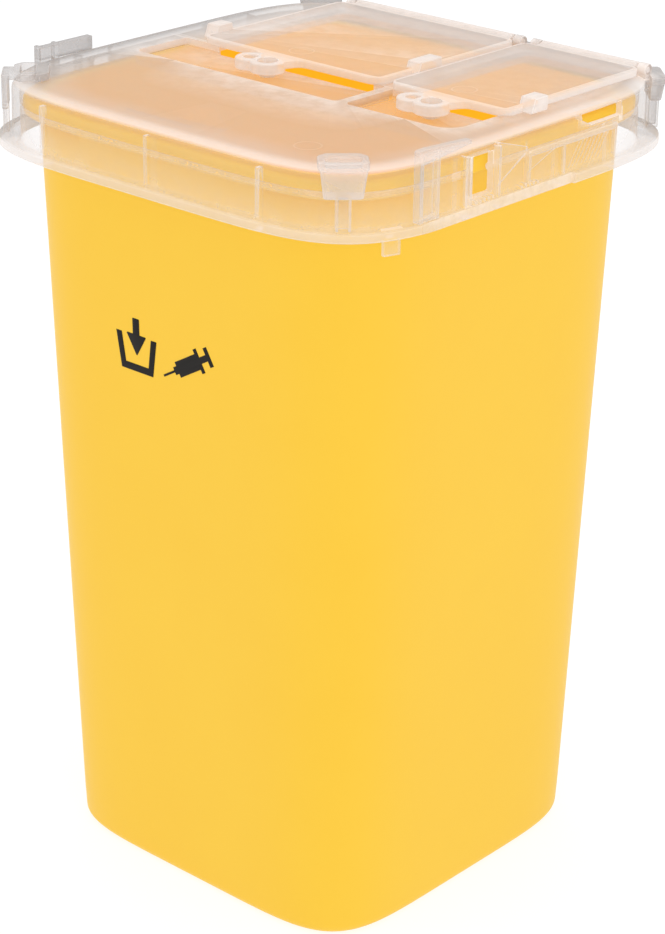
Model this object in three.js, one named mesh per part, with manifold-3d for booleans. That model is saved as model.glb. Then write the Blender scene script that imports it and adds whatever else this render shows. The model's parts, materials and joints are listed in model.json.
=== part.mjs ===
// A one-litre sharps bin: a tapered square tub, a press-on lid with two hinged flaps,
// four corner clips, two side rails and two latch pegs. Millimetres, +Z up.
// Origin: centre of the footprint, on the surface that the bin stands on. -Y is the front.
import * as THREE from 'three';
import { mergeVertices } from 'three/addons/utils/BufferGeometryUtils.js';
import Module from 'manifold-3d';

const wasm = await Module();
wasm.setup();

// ---- driving dimensions -------------------------------------------------------------
const GAP = 0.3; // clearance between pieces that only touch

const TUB = {
  baseHalf: 39.2, // half the width across the bottom
  topHalf: 43.6, // half the width across the top
  cornerRadius: 10, // at the bottom; grows with the taper
  bow: 1.7, // how far the middle of each side swells out
  height: 161,
  wall: 1.5,
  edgeRound: 2.4, // round where the sides meet the base
  footDepth: 1.2, // hollow under the base, inside the foot ring
  footInset: 8,
  rimBottom: 157.4,
  rimReach: 2.3, // how far the rim bead stands out from the wall
};

const LID = {
  flangeHalf: 51.6,
  flangeRadius: 19.5,
  flangeBow: 0.9,
  flangeBottom: 151.2,
  flangeThick: 2,
  skirtHalf: 49.2,
  skirtRadius: 15.5,
  skirtBow: 0.6,
  skirtWall: 1.2,
  deckTop: 164,
  deckThick: 1.3,
  edgeRound: 0.9,
  troughTop: 162.4,
  troughThick: 1.1,
  troughFront: -13,
  troughHalf: 41,
  ribWidth: 1.1,
  ribReach: 1.1,
  ribSpacing: 28,
};

const FLAP = {
  thick: 1.6,
  bottom: LID.deckTop + GAP,
  front: -0.6,
  shoulder: 41.6, // the plate is full width up to here, then passes between the ears
  cornerRadius: 3,
  overlap: 2.6, // how far the plate laps over the edge of its opening
};
const LARGE = { left: -34.6, right: 12.8, eyeX: -12 };
const SMALL = { left: 15, right: 43.8, eyeX: 29.8 };

const HINGE = {
  y: 44.3,
  z: 164.9,
  barrelRadius: 1.2,
  pinRadius: 0.75,
  holeRadius: 1.05,
  earWidth: 2.2,
  earReach: 1.9,
  sideGap: 0.35,
};

const EYE = { y: -5.3, outer: 3.5, inner: 2, spacing: 4.4, height: 2.3 };
const LUG = { width: 3.4, length: 5, top: 167.4, overhang: 2.4 };
const CLIP = {
  reach: 58.4, // from the centre line to the back of the head, along the diagonal
  face: 65.4,
  halfWidth: 4.5,
  chamfer: 1.4,
  top: 166,
  slotHalf: 3.3,
  wall: 1.3,
  headBottom: 158.4,
  stemHalf: 1.4,
  shift: 1.2, // from the diagonal towards the front or back face
  pressedIn: 4, // how far the head of the pressed clip sits further in over the deck
};
const RAIL = {
  pillar: 5.4,
  inner: 50.1,
  outer: 51.8,
  barBottom: 163.6,
  top: 166.8,
  foot: 153.5,
};
const RIGHT_RAIL = { front: -34.2, back: -20 };
const LEFT_RAIL = { front: -30.6, back: -16.2 };
const SIDE = {
  windowFront: -17.4,
  windowBack: -11.6,
  ledgeFront: -2,
  ledgeBack: 25,
  ledgeReach: 50.8,
  ledgeTop: 160,
  ledgeThick: 1.2,
  slotFront: 15,
  slotBack: 30,
  ribs: [-19.7, -10.9, -2, 8.4, 24.4],
  trimReach: 51.4, // the flange is trimmed back to this beside the fittings
  trimFront: -33,
  trimBack: 10.4,
};

const ROUND = 24;
const CORNER_STEPS = 7;

// ---- materials ----------------------------------------------------------------------
const yellow = () => new THREE.MeshStandardMaterial({
  color: 0xf8c831, roughness: 0.45, metalness: 0,
});
const milky = () => new THREE.MeshStandardMaterial({
  color: 0xe9e6e2, roughness: 0.3, metalness: 0, transparent: true, opacity: 0.55,
});

// ---- solids -------------------------------------------------------------------------
function solid(geometry) {
  const bare = geometry.index ? geometry.toNonIndexed() : geometry;
  bare.deleteAttribute('normal');
  bare.deleteAttribute('uv');
  const merged = mergeVertices(bare, 1e-4);
  return new wasm.Manifold(new wasm.Mesh({
    numProp: 3,
    vertProperties: new Float32Array(merged.attributes.position.array),
    triVerts: new Uint32Array(merged.index.array),
  }));
}

function meshOf(name, shape, material) {
  const { vertProperties, triVerts } = shape.getMesh();
  const geometry = new THREE.BufferGeometry();
  geometry.setAttribute('position', new THREE.BufferAttribute(vertProperties, 3));
  geometry.setIndex(new THREE.BufferAttribute(triVerts, 1));
  geometry.computeVertexNormals();
  const mesh = new THREE.Mesh(geometry, material);
  mesh.name = name;
  return mesh;
}

// A square with round corners whose sides bow outwards in the middle.
function bowedSquare(half, radius, bow) {
  const shape = new THREE.Shape();
  const centre = half - radius;
  const lean = Math.atan(2 * bow / (half - radius));
  const bulge = half + 2 * bow;
  for (let side = 0; side < 4; side += 1) {
    const turn = side * Math.PI / 2;
    const at = (x, y) => [
      x * Math.cos(turn) - y * Math.sin(turn),
      x * Math.sin(turn) + y * Math.cos(turn),
    ];
    shape.absarc(...at(centre, centre), radius, turn + lean, turn + Math.PI / 2 - lean);
    const next = at(-(centre + radius * Math.sin(lean)), centre + radius * Math.cos(lean));
    shape.quadraticCurveTo(...at(0, bulge), ...next);
  }
  return shape;
}

function roundedRect(x0, x1, y0, y1, radius) {
  const shape = new THREE.Shape();
  shape.absarc(x1 - radius, y1 - radius, radius, 0, Math.PI / 2);
  shape.absarc(x0 + radius, y1 - radius, radius, Math.PI / 2, Math.PI);
  shape.absarc(x0 + radius, y0 + radius, radius, Math.PI, Math.PI * 1.5);
  shape.absarc(x1 - radius, y0 + radius, radius, Math.PI * 1.5, Math.PI * 2);
  return shape;
}

function slab(shape, z0, z1, round = 0) {
  const bevel = round > 0
    ? { bevelEnabled: true, bevelSize: round, bevelOffset: -round, bevelThickness: round,
        bevelSegments: 3 }
    : { bevelEnabled: false };
  const geometry = new THREE.ExtrudeGeometry(shape, {
    depth: z1 - z0 - 2 * round, steps: 1, curveSegments: CORNER_STEPS, ...bevel,
  });
  geometry.translate(0, 0, z0 + round);
  return geometry;
}

function block(x0, x1, y0, y1, z0, z1) {
  const geometry = new THREE.BoxGeometry(x1 - x0, y1 - y0, z1 - z0);
  geometry.translate((x0 + x1) / 2, (y0 + y1) / 2, (z0 + z1) / 2);
  return solid(geometry);
}

function disc(x, y, radius, z0, z1) {
  const geometry = new THREE.CylinderGeometry(radius, radius, z1 - z0, ROUND);
  geometry.rotateX(Math.PI / 2);
  geometry.translate(x, y, (z0 + z1) / 2);
  return solid(geometry);
}

function rodAlongX(x0, x1, y, z, radius) {
  const geometry = new THREE.CylinderGeometry(radius, radius, x1 - x0, ROUND);
  geometry.rotateZ(Math.PI / 2);
  geometry.translate((x0 + x1) / 2, y, z);
  return solid(geometry);
}

// Widens a straight prism towards the top so that it follows the tub's taper.
function taper(geometry) {
  const place = geometry.attributes.position;
  const growth = (TUB.topHalf / TUB.baseHalf - 1) / TUB.height;
  for (let i = 0; i < place.count; i += 1) {
    const scale = 1 + growth * place.getZ(i);
    place.setXY(i, place.getX(i) * scale, place.getY(i) * scale);
  }
  return geometry;
}

const mirrored = (shape) => shape.mirror([1, 0, 0]);
const joined = (list) => list.reduce((whole, piece) => whole.add(piece));

// ---- the tub ------------------------------------------------------------------------
function tub() {
  const { baseHalf, cornerRadius, bow, height, wall, edgeRound } = TUB;
  const outline = (inset) => bowedSquare(baseHalf - inset, cornerRadius - inset, bow);
  const over = 12; // runs past the top, and is cut off level
  const body = solid(taper(slab(outline(0), 0, height + over, edgeRound)));
  const top = block(-60, 60, -60, 60, height, height + 2 * over);
  const floor = TUB.footDepth + wall + 0.4;
  const hollow = solid(taper(slab(outline(wall), floor, height + over, edgeRound - wall / 2)));
  const foot = solid(slab(
    bowedSquare(baseHalf - TUB.footInset, cornerRadius - 2, bow / 2), -1, TUB.footDepth,
  ));
  const rimHalf = TUB.topHalf + TUB.rimReach;
  const rim = solid(slab(
    bowedSquare(rimHalf, 13.2, bow), TUB.rimBottom, height, 1,
  ));
  return body.add(rim).subtract(top).subtract(hollow).subtract(foot);
}

// ---- the lid ------------------------------------------------------------------------
// The parts of the deck that lie lower: the trough in front of the flaps and the hinge bay.
function lowAreas(margin, z0, z1) {
  const { troughHalf, troughFront } = LID;
  return [
    block(-troughHalf - margin, LARGE.right + margin, troughFront - margin,
      FLAP.front + 2 + margin, z0, z1),
    block(SMALL.left - margin, troughHalf + margin, troughFront - margin,
      FLAP.front + 2 + margin, z0, z1),
    block(LARGE.left - margin, SMALL.right + margin, HINGE.y - 1.8 - margin,
      HINGE.y + 1.7 + margin, z0, z1),
  ];
}

function flapOpening(flap) {
  return [flap.left + FLAP.overlap, flap.right - FLAP.overlap, FLAP.front + 1.2,
    HINGE.y - 4.6];
}

function ear(x0) {
  const { y, z, earReach, earWidth, holeRadius } = HINGE;
  const post = block(x0, x0 + earWidth, y - earReach / 2, y + earReach / 2, LID.troughTop - 0.5, z);
  const crown = rodAlongX(x0, x0 + earWidth, y, z, earReach / 2 + 0.3);
  return post.add(crown).subtract(rodAlongX(x0 - 1, x0 + earWidth + 1, y, z, holeRadius));
}

// One long side of the lid: ledge, upright ribs, a tall window and a long slot.
function sideFittings() {
  const { ledgeFront, ledgeBack, ledgeReach, ledgeTop, ledgeThick } = SIDE;
  const wall = LID.skirtHalf - 0.3;
  const base = LID.flangeBottom + LID.flangeThick - 0.2;
  const pieces = [block(wall, ledgeReach, ledgeFront, ledgeBack, ledgeTop - ledgeThick, ledgeTop)];
  for (const y of SIDE.ribs) {
    const top = y < ledgeFront ? LID.deckTop - 1 : ledgeTop - 0.3;
    pieces.push(block(wall, ledgeReach, y - LID.ribWidth / 2, y + LID.ribWidth / 2, base, top));
  }
  return joined(pieces);
}

// The strip that is trimmed off the flange on one side.
function flangeTrim() {
  const { trimReach, trimFront, trimBack } = SIDE;
  return block(trimReach, LID.flangeHalf + 3, trimFront, trimBack, LID.flangeBottom - 1,
    LID.flangeBottom + LID.flangeThick + GAP);
}

function sideWindows() {
  const { windowFront, windowBack, slotFront, slotBack, ledgeTop } = SIDE;
  const inside = LID.skirtHalf - 3;
  const outside = LID.skirtHalf + 3;
  const floor = LID.flangeBottom + LID.flangeThick + 1;
  return block(inside, outside, windowFront, windowBack, floor, LID.deckTop - 1.6)
    .add(block(inside, outside, slotFront, slotBack, ledgeTop + 0.2, LID.deckTop - 1.4));
}

function lidFrame() {
  const { flangeBottom, flangeThick, skirtHalf, skirtRadius, skirtBow, skirtWall } = LID;
  const flange = solid(slab(
    bowedSquare(LID.flangeHalf, LID.flangeRadius, LID.flangeBow),
    flangeBottom, flangeBottom + flangeThick, 0.4,
  ));
  const cap = solid(slab(
    bowedSquare(skirtHalf, skirtRadius, skirtBow), flangeBottom + 0.4, LID.deckTop, LID.edgeRound,
  ));
  const ceiling = LID.deckTop - LID.deckThick;
  let inside = solid(slab(
    bowedSquare(skirtHalf - skirtWall, skirtRadius - skirtWall, skirtBow),
    flangeBottom - 1, ceiling,
  ));
  const underLow = LID.troughTop - LID.troughThick;
  for (const thick of lowAreas(LID.troughThick, underLow, LID.deckTop)) {
    inside = inside.subtract(thick);
  }
  let lid = flange.add(cap);
  for (const low of lowAreas(0, LID.troughTop, LID.deckTop + 1)) {
    lid = lid.subtract(low);
  }
  const rib = (x) => block(x - LID.ribWidth / 2, x + LID.ribWidth / 2,
    -skirtHalf - skirtBow - LID.ribReach, -skirtHalf + 0.4, flangeBottom + 1, LID.deckTop - 1.2);
  for (const x of [-LID.ribSpacing, 0, LID.ribSpacing]) {
    lid = lid.add(rib(x)).add(rib(x).mirror([0, 1, 0]));
  }
  const fittings = sideFittings();
  lid = lid.add(fittings).add(mirrored(fittings));
  lid = lid.subtract(inside);
  for (const flap of [LARGE, SMALL]) {
    const [x0, x1, y0, y1] = flapOpening(flap);
    const hole = slab(roundedRect(x0, x1, y0, y1, 2), underLow - 1, LID.deckTop + 1);
    lid = lid.subtract(solid(hole));
    lid = lid.add(ear(flap.left)).add(ear(flap.right - HINGE.earWidth));
  }
  const cuts = sideWindows().add(flangeTrim());
  return lid.subtract(cuts).subtract(mirrored(cuts));
}

// ---- the flaps ----------------------------------------------------------------------
function flapEye(flap) {
  const { y, outer, inner, spacing, height } = EYE;
  const top = FLAP.bottom + FLAP.thick;
  const base = top - height;
  const neck = block(flap.eyeX - 2.4, flap.eyeX + 3.2, y + 1, FLAP.front + 1, FLAP.bottom, top);
  return disc(flap.eyeX, y, outer, base, top)
    .add(disc(flap.eyeX - spacing, y, outer - 0.3, base, top))
    .add(neck)
    .subtract(disc(flap.eyeX, y, inner, base - 1, top + 1))
    .subtract(disc(flap.eyeX - spacing, y, inner - 0.5, base - 1, top + 1));
}

function lug(x0, y0, width, length) {
  const low = FLAP.bottom + 0.2;
  return block(x0, x0 + width, y0, y0 + length, low, LUG.top);
}

function flapPlate(flap) {
  const { bottom, thick, front, shoulder, cornerRadius } = FLAP;
  const top = bottom + thick;
  const plate = solid(slab(
    roundedRect(flap.left, flap.right, front, shoulder, cornerRadius), bottom, top,
  ));
  const neckIn = HINGE.earWidth + HINGE.sideGap;
  const left = flap.left + neckIn;
  const right = flap.right - neckIn;
  const neck = block(left, right, shoulder - 4, HINGE.y, bottom, top - 0.3);
  const barrel = rodAlongX(left, right, HINGE.y, HINGE.z, HINGE.barrelRadius);
  const pin = rodAlongX(flap.left + 0.2, flap.right - 0.2, HINGE.y, HINGE.z, HINGE.pinRadius);
  return plate.add(neck).add(barrel).add(pin).add(flapEye(flap));
}

function largeFlap() {
  const { width, length, overhang } = LUG;
  return flapPlate(LARGE)
    .add(lug(LARGE.left - overhang, 2.5, width, length))
    .add(lug(LARGE.right - 1.8, 9, width, length * 1.5));
}

function smallFlap() {
  const { width, length, overhang } = LUG;
  return flapPlate(SMALL).add(lug(SMALL.right + overhang - width, 4, width, length));
}

function latchPeg(flap) {
  return disc(flap.eyeX, EYE.y, EYE.inner - GAP, LID.troughTop + GAP, FLAP.bottom + 0.6);
}

// ---- the fittings on the lid --------------------------------------------------------
// The eight-sided outline of a clip's head, seen from above.
function clipOutline(inward) {
  const { halfWidth, chamfer } = CLIP;
  const back = CLIP.reach - inward;
  const face = CLIP.face - inward;
  return new THREE.Shape([
    new THREE.Vector2(back + chamfer, -halfWidth),
    new THREE.Vector2(face - chamfer, -halfWidth),
    new THREE.Vector2(face, -halfWidth + chamfer),
    new THREE.Vector2(face, halfWidth - chamfer),
    new THREE.Vector2(face - chamfer, halfWidth),
    new THREE.Vector2(back + chamfer, halfWidth),
    new THREE.Vector2(back, halfWidth - chamfer),
    new THREE.Vector2(back, -halfWidth + chamfer),
  ]);
}

const SKIRT_CORNER = (LID.skirtHalf - LID.skirtRadius) * Math.SQRT2 + LID.skirtRadius;
const CLIP_BACK = SKIRT_CORNER + GAP + 0.1;
const CLIP_SEAT = LID.deckTop + GAP;
const CLIP_FOOT = LID.flangeBottom + LID.flangeThick + GAP;
const toCorner = (shape) => shape.translate([0, -CLIP.shift, 0]).rotate([0, 0, -45]);

// A clip for the +X corner: a cup outside the skirt over a narrow stem. A front clip also
// has an eight-sided head with a slot, which laps over the deck.
function cornerClip(withHead) {
  const { reach, face, halfWidth, top, slotHalf, wall, headBottom, stemHalf } = CLIP;
  const outside = halfWidth + 1;
  const head = solid(slab(clipOutline(0), headBottom, top));
  const stem = block(CLIP_BACK, face, -stemHalf, stemHalf, CLIP_FOOT, headBottom + 1);
  const room = block(reach - 1, CLIP_BACK, -outside, outside, headBottom - 1, CLIP_SEAT);
  let clip = head.add(stem).subtract(room);
  if (withHead) {
    const slotFront = reach + 2 * wall;
    clip = clip.subtract(block(slotFront, face - wall, -slotHalf, slotHalf, CLIP_SEAT - 1,
      top + 1));
  } else {
    clip = clip.subtract(block(reach - 1, face + 1, -outside, outside, CLIP_SEAT, top + 1));
  }
  return toCorner(clip);
}

// The clip that is pressed home: its head sits further in, and only a strap and the stem
// stay outside the skirt.
function pressedClip() {
  const { reach, face, pressedIn, top, slotHalf, wall, headBottom, stemHalf } = CLIP;
  const strap = CLIP_BACK + wall;
  const headFace = face - pressedIn;
  const head = solid(slab(clipOutline(pressedIn), CLIP_SEAT, top));
  const bridge = block(headFace - 0.5, strap, -slotHalf, slotHalf, CLIP_SEAT, top - 0.4);
  const cup = block(CLIP_BACK, strap, -slotHalf, slotHalf, headBottom, CLIP_SEAT + 0.2);
  const stem = block(CLIP_BACK, strap, -stemHalf, stemHalf, CLIP_FOOT, headBottom + 1);
  const slot = block(reach - pressedIn + 2 * wall, headFace - wall, -slotHalf, slotHalf,
    CLIP_SEAT - 1, top + 1);
  return toCorner(head.add(bridge).add(cup).add(stem).subtract(slot));
}

// The rail for the +X side: a hollow pillar with a bar running back from its top.
function sideRail(place) {
  const { pillar, inner, outer, barBottom, top, foot } = RAIL;
  const { front, back } = place;
  const post = block(inner, outer, front, front + pillar, foot, top - 0.4);
  const bar = block(inner, outer - 0.2, front, back, barBottom, top);
  const hollow = block(inner + 0.8, outer + 1, front + 1.1, front + pillar - 1.1, foot + 1.2,
    barBottom - 0.6);
  return post.add(bar).subtract(hollow);
}

// ---- assembly -----------------------------------------------------------------------
const bin = new THREE.Group();
bin.add(meshOf('bin_body', tub(), yellow()));

const lid = new THREE.Group();
lid.add(meshOf('lid_frame', lidFrame(), milky()));
lid.add(meshOf('large_flap', largeFlap(), milky()));
lid.add(meshOf('small_flap', smallFlap(), milky()));
lid.add(meshOf('large_flap_latch_peg', latchPeg(LARGE), milky()));
lid.add(meshOf('small_flap_latch_peg', latchPeg(SMALL), milky()));

const frontClip = cornerClip(true);
const backClip = cornerClip(false).mirror([0, 1, 0]);
lid.add(meshOf('corner_clip_front_right', frontClip, milky()));
lid.add(meshOf('corner_clip_front_left', mirrored(pressedClip()), milky()));
lid.add(meshOf('corner_clip_back_right', backClip, milky()));
lid.add(meshOf('corner_clip_back_left', mirrored(backClip), milky()));

lid.add(meshOf('side_rail_right', sideRail(RIGHT_RAIL), milky()));
lid.add(meshOf('side_rail_left', mirrored(sideRail(LEFT_RAIL)), milky()));
bin.add(lid);

export default bin;
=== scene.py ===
"""A one-litre sharps bin: an opaque yellow tub under a milky, see-through lid with two flaps."""
import json
import math
import bmesh
import bpy
import numpy as np
from mathutils import Matrix, Vector
from mathutils.bvhtree import BVHTree


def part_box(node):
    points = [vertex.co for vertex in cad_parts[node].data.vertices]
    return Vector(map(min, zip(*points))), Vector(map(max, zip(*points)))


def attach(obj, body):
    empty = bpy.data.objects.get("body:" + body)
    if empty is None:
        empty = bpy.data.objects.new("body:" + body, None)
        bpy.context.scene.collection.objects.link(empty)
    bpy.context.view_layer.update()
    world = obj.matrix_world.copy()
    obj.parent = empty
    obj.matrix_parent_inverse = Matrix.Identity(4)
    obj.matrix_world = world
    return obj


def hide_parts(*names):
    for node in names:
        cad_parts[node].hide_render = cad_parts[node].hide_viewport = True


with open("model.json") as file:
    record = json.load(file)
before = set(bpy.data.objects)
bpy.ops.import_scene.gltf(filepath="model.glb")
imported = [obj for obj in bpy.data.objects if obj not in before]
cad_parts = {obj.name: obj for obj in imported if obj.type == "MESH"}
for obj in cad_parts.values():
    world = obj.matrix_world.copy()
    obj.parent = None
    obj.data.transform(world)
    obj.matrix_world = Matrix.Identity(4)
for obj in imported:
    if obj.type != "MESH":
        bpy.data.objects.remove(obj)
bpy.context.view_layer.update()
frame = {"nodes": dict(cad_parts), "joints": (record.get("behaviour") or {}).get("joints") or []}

MM = 0.001  # everything is shaped in millimetres and becomes metres when it is finished


# ---- sizes, worked out from the frame ----
def box_mm(node):
    low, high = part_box(node)
    return low / MM, high / MM


TUB_HIGH = box_mm("bin_body")[1]
LID_LOW, LID_HIGH = box_mm("lid_frame")
LARGE_LOW, LARGE_HIGH = box_mm("large_flap")
SMALL_LOW, SMALL_HIGH = box_mm("small_flap")
CLIP_HIGH = box_mm("corner_clip_front_right")[1]
PEG_LOW, PEG_HIGH = box_mm("large_flap_latch_peg")
HINGE = {j["child"]: Vector(j["pos_m"]) / MM for j in frame["joints"]}
HINGE_Y = HINGE["large_flap"].y
HINGE_Z = HINGE["large_flap"].z

FLANGE_HALF = LID_HIGH.x
FLANGE_BOTTOM = LID_LOW.z
FLANGE_TOP = FLANGE_BOTTOM + 2.0
SKIRT_HALF = FLANGE_HALF - 2.6
SKIRT_WALL = 1.2
DECK_TOP = FLANGE_BOTTOM + 12.8
DECK_THICK = 1.3
EDGE_ROUND = 2.0
TROUGH_TOP = DECK_TOP - 1.6
TROUGH_THICK = 1.1
TROUGH_FRONT = -13.0
TROUGH_HALF = 41.0
FLAP_BOTTOM = DECK_TOP + 0.3
FLAP_THICK = 1.6
FLAP_TOP = FLAP_BOTTOM + FLAP_THICK
EYE_Y = (PEG_LOW.y + PEG_HIGH.y) / 2
LARGE_EYE_X = (PEG_LOW.x + PEG_HIGH.x) / 2
SMALL_EYE_X = sum(v.x for v in box_mm("small_flap_latch_peg")) / 2
EYE_RADIUS = 3.5
EYE_BORE = 2.05
EYE_SPACING = 4.4
EYE_HEIGHT = 2.3
LARGE_LEFT = LARGE_LOW.x + 2.4
LARGE_RIGHT = LARGE_HIGH.x - 1.6
SMALL_LEFT = SMALL_LOW.x
SMALL_RIGHT = SMALL_HIGH.x - 2.4
FLAP_FRONT = -0.6
FLAP_SHOULDER = 41.6
FLAP_LAP = 2.6
HINGE_EAR = 2.2

# How square each ring is: the exponent of |x|^n + |y|^n = half^n.
TUB_SQUARE = 5.7
SKIRT_SQUARE = 5.4
FLANGE_SQUARE = 5.15


# ---- small mesh helpers ----
def object_from(name, mesh):
    obj = bpy.data.objects.new(name, mesh)
    bpy.context.scene.collection.objects.link(obj)
    return obj


def discard(obj):
    mesh = obj.data
    bpy.data.objects.remove(obj)
    if isinstance(mesh, bpy.types.Mesh) and mesh.users == 0:
        bpy.data.meshes.remove(mesh)


def evaluated_copy(obj, name):
    """The object's mesh with its modifiers applied, as a plain mesh."""
    bpy.context.view_layer.update()
    graph = bpy.context.evaluated_depsgraph_get()
    mesh = bpy.data.meshes.new_from_object(obj.evaluated_get(graph), depsgraph=graph)
    mesh.name = name
    return mesh


def tidy_mesh(mesh, distance=1e-4):
    bm = bmesh.new()
    bm.from_mesh(mesh)
    bmesh.ops.remove_doubles(bm, verts=bm.verts, dist=distance)
    bmesh.ops.dissolve_degenerate(bm, edges=bm.edges, dist=distance)
    bmesh.ops.recalc_face_normals(bm, faces=bm.faces)
    bm.to_mesh(mesh)
    bm.free()
    return mesh


def mesh_from(name, verts, faces):
    mesh = bpy.data.meshes.new(name)
    mesh.from_pydata([tuple(v) for v in verts], [], faces)
    return tidy_mesh(mesh)


def arc(cx, cy, radius, start, end, steps):
    """Points along an arc, angles in degrees."""
    angles = [math.radians(start + (end - start) * i / steps) for i in range(steps + 1)]
    return [(cx + radius * math.cos(a), cy + radius * math.sin(a)) for a in angles]


def rounded(points, radius, steps=6):
    """A closed outline with each corner turned into an arc. radius may be a list."""
    out = []
    count = len(points)
    for i, here in enumerate(points):
        r = radius[i] if isinstance(radius, (list, tuple)) else radius
        p = Vector(here)
        a = (Vector(points[i - 1]) - p)
        b = (Vector(points[(i + 1) % count]) - p)
        reach = min(a.length, b.length) * 0.49
        a.normalize()
        b.normalize()
        half = a.angle(b) / 2
        if r < 1e-3 or half > math.radians(88):
            out.append(tuple(p))
            continue
        cut = min(r / math.tan(half), reach)
        r = cut * math.tan(half)
        centre = p + (a + b).normalized() * (r / math.sin(half))
        start = p + a * cut - centre
        end = p + b * cut - centre
        turn = start.angle_signed(end)
        for s in range(steps + 1):
            spin = Matrix.Rotation(-turn * s / steps, 2)
            out.append(tuple(centre + spin @ start))
    return out


def rectangle(x0, x1, y0, y1):
    return [(x0, y0), (x1, y0), (x1, y1), (x0, y1)]


def plate(loops, z0, z1, soften=0.25):
    """A flat plate with softened edges; loops after the first are holes."""
    curve = bpy.data.curves.new("outline", "CURVE")
    curve.dimensions = "2D"
    curve.fill_mode = "BOTH"
    soften = min(soften, (z1 - z0) * 0.45)
    curve.bevel_depth = soften
    curve.bevel_resolution = 2
    curve.offset = -soften
    curve.extrude = (z1 - z0) / 2 - soften
    for loop in loops:
        spline = curve.splines.new("POLY")
        spline.points.add(len(loop) - 1)
        for point, (x, y) in zip(spline.points, loop):
            point.co = (x, y, 0, 1)
        spline.use_cyclic_u = True
    obj = object_from("outline", curve)
    mesh = evaluated_copy(obj, "plate")
    bpy.data.objects.remove(obj)
    bpy.data.curves.remove(curve)
    mesh.transform(Matrix.Translation((0, 0, (z0 + z1) / 2)))
    return tidy_mesh(mesh)


def block(x0, x1, y0, y1, z0, z1, soften=0.2):
    """A softened box."""
    bm = bmesh.new()
    bmesh.ops.create_cube(bm, size=1)
    size = Vector((x1 - x0, y1 - y0, z1 - z0))
    bmesh.ops.scale(bm, vec=size, verts=bm.verts)
    if soften > 0:
        bmesh.ops.bevel(bm, geom=bm.edges[:], offset=min(soften, min(size) * 0.45), segments=2,
                        profile=0.5, affect="EDGES")
    mesh = bpy.data.meshes.new("block")
    bm.to_mesh(mesh)
    bm.free()
    mesh.transform(Matrix.Translation(((x0 + x1) / 2, (y0 + y1) / 2, (z0 + z1) / 2)))
    return mesh


def side_plate(outline, x0, x1, soften=0.15):
    """A plate that stands upright on the side, with its outline given as (y, z)."""
    mesh = plate([outline], x0, x1, soften)
    mesh.transform(Matrix(((0, 0, 1, 0), (1, 0, 0, 0), (0, 1, 0, 0), (0, 0, 0, 1))))
    return mesh


def turned(profile, steps=40):
    """A solid of revolution about Z from (radius, z) points that start and end on the axis,
    or close on themselves."""
    verts = []
    for r, z in profile:
        for s in range(steps):
            a = 2 * math.pi * s / steps
            verts.append((r * math.cos(a), r * math.sin(a), z))
    faces = []
    rows = len(profile)
    closed = profile[0][0] > 1e-6
    for i in range(rows if closed else rows - 1):
        for s in range(steps):
            t = (s + 1) % steps
            j = (i + 1) % rows
            faces.append((i * steps + s, i * steps + t, j * steps + t, j * steps + s))
    return mesh_from("turned", verts, faces)


def moved(mesh, x=0.0, y=0.0, z=0.0):
    mesh.transform(Matrix.Translation((x, y, z)))
    return mesh


def mirrored(mesh, axis):
    flip = Matrix.Scale(-1, 4, axis)
    copy = mesh.copy()
    copy.transform(flip)
    copy.flip_normals()
    return copy


def combine(base, others, operation):
    """Joins or cuts closed meshes, one after another."""
    result = base
    for other in others:
        a = object_from("base", result)
        b = object_from("tool", other)
        step = a.modifiers.new("step", "BOOLEAN")
        step.operation = operation
        step.object = b
        step.solver = "MANIFOLD"
        mesh = evaluated_copy(a, "combined")
        discard(a)
        discard(b)
        result = mesh
    return result


def join(base, *others):
    return combine(base, others, "UNION")


def cut(base, *others):
    return combine(base, others, "DIFFERENCE")


# ---- geometry nodes: trees ----
class Tree:
    """A short way to build a node tree."""

    def __init__(self, name, inputs, kind="GeometryNodeTree", outputs=(("Geometry", "Geometry"),)):
        self.tree = bpy.data.node_groups.new(name, kind)
        for label, form in inputs:
            self.tree.interface.new_socket(label, in_out="INPUT", socket_type="NodeSocket" + form)
        for label, form in outputs:
            self.tree.interface.new_socket(label, in_out="OUTPUT", socket_type="NodeSocket" + form)
        self.start = self.tree.nodes.new("NodeGroupInput")
        self.end = self.tree.nodes.new("NodeGroupOutput")

    def node(self, kind, links=None, **settings):
        node = self.tree.nodes.new(kind)
        for key, value in settings.items():
            setattr(node, key, value)
        for key, value in (links or {}).items():
            self.feed(node.inputs[key], value)
        return node

    def feed(self, socket, value):
        if isinstance(value, bpy.types.NodeSocket):
            self.tree.links.new(value, socket)
        elif isinstance(value, bpy.types.Node):
            self.tree.links.new(value.outputs[0], socket)
        else:
            socket.default_value = value

    def math(self, operation, a, b=None, clamp=False):
        node = self.node("ShaderNodeMath", operation=operation, use_clamp=clamp)
        for socket, value in zip(node.inputs, (a, b)):
            if value is not None:
                self.feed(socket, value)
        return node.outputs[0]

    def given(self, label):
        return self.start.outputs[label]

    def finish(self, value, label="Geometry"):
        self.feed(self.end.inputs[label], value)
        return self.tree


def run_tree(tree, mesh, name, **values):
    """Runs a geometry tree on a mesh and returns the plain result. Inputs are set by identifier."""
    obj = object_from(name, mesh)
    modifier = obj.modifiers.new(name, "NODES")
    modifier.node_group = tree
    for item in tree.interface.items_tree:
        if item.item_type == "SOCKET" and item.in_out == "INPUT" and item.name in values:
            modifier[item.identifier] = values[item.name]
    result = evaluated_copy(obj, name)
    obj.modifiers.remove(modifier)
    discard(obj)
    return result


def close_up(tree, geometry, material):
    """The end that every tree has: real geometry, with its material set."""
    real = tree.node("GeometryNodeRealizeInstances", {"Geometry": geometry})
    dressed = tree.node("GeometryNodeSetMaterial", {"Geometry": real, "Material": material})
    return tree.finish(dressed)


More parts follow.
